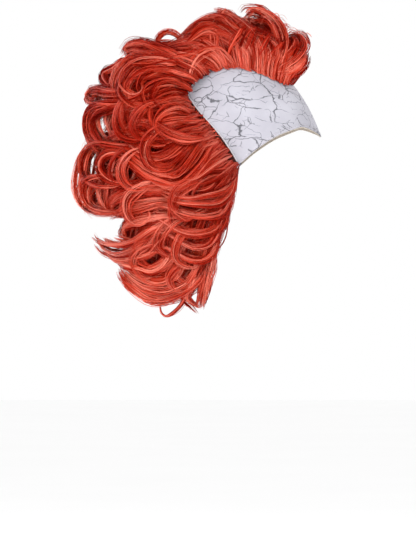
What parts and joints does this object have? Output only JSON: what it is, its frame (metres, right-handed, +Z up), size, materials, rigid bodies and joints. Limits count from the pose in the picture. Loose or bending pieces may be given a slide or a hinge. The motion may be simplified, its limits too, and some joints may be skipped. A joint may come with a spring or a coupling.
{
  "type": "costume wig",
  "caption": "Full-head costume wig of long copper curls swept up and forward over a smooth fabric forehead panel, on a stretch net cap with grip tabs at the nape.",
  "frame": {"origin": "middle of the head opening, level with the wearer's brow", "axes": "the wearer faces -Y, +X is the wearer's left, +Z is up through the crown"},
  "size_m": [0.2572, 0.2835, 0.356],
  "materials": {
    "panel_fabric": "smooth stretch knit, pale, with fine grey crackle lines",
    "grip_tape": "thin beige silicone-faced tape",
    "seam_cord": "overlocked seam, tight stitches",
    "cap_net": "open stretch net, matte",
    "elastic": "ribbed elastic, matte",
    "loop_tape": "soft loop pile",
    "hook_tape": "stiff hook tape, slight sheen",
    "ear_tab_fabric": "soft lined cloth",
    "stay_metal": "bendable flat stay",
    "label": "blank satin tape",
    "weft": "machine-sewn weft track",
    "hair_fibre": "glossy curled synthetic fibre, copper red"
  },
  "bodies": {
    "wig": {"forehead_panel": "panel_fabric", "forehead_grip_tape": "grip_tape", "hairline_seam": "seam_cord", "top_net": "cap_net", "back_net": "cap_net", "centre_rib": "elastic", "left_rib": "elastic", "right_rib": "elastic", "left_side_band": "elastic", "right_side_band": "elastic", "nape_band": "elastic", "nape_grip_patch": "loop_tape", "left_adjuster_strap": "elastic", "right_adjuster_strap": "elastic", "care_label": "label", "back_weft_1": "weft", "back_weft_2": "weft", "back_weft_3": "weft", "back_weft_4": "weft", "back_weft_5": "weft", "back_weft_6": "weft", "back_weft_7": "weft", "top_weft_1": "weft", "top_weft_2": "weft", "top_weft_3": "weft", "top_weft_4": "weft", "top_weft_5": "weft", "top_weft_6": "weft", "top_weft_7": "weft", "top_weft_8": "weft", "hair_quiff": "hair_fibre", "hair_top_left": "hair_fibre", "hair_top_right": "hair_fibre", "hair_crown_left": "hair_fibre", "hair_crown_right": "hair_fibre", "hair_side_upper_left": "hair_fibre", "hair_side_upper_right": "hair_fibre", "hair_back_upper_left": "hair_fibre", "hair_back_upper_right": "hair_fibre", "hair_side_lower_left": "hair_fibre", "hair_side_lower_right": "hair_fibre", "hair_back_lower_left": "hair_fibre", "hair_back_lower_right": "hair_fibre", "hair_nape_side_left": "hair_fibre", "hair_nape_side_right": "hair_fibre", "hair_nape_back_left": "hair_fibre", "hair_nape_back_right": "hair_fibre"},
    "left_grip": {"left_grip_tab": "hook_tape"},
    "right_grip": {"right_grip_tab": "hook_tape"},
    "left_ear": {"left_ear_tab": "ear_tab_fabric", "left_ear_stay": "stay_metal"},
    "right_ear": {"right_ear_tab": "ear_tab_fabric", "right_ear_stay": "stay_metal"}
  },
  "joints": [
    {"name": "left_grip_slide", "type": "hinge", "parent": "wig", "child": "left_grip", "pos_m": [0, 0.01, -0.057], "axis": [0, 0, 1], "range_deg": [0, 14], "deforming": ["left_adjuster_strap"]},
    {"name": "right_grip_slide", "type": "hinge", "parent": "wig", "child": "right_grip", "pos_m": [0, 0.01, -0.057], "axis": [0, 0, -1], "range_deg": [0, 14], "deforming": ["right_adjuster_strap"]},
    {"name": "left_ear_fold", "type": "hinge", "parent": "wig", "child": "left_ear", "pos_m": [0.0761, 0.005, -0.0382], "axis": [0, 1, 0], "range_deg": [-5, 25]},
    {"name": "right_ear_fold", "type": "hinge", "parent": "wig", "child": "right_ear", "pos_m": [-0.0761, 0.005, -0.0382], "axis": [0, -1, 0], "range_deg": [-5, 25]}
  ]
}
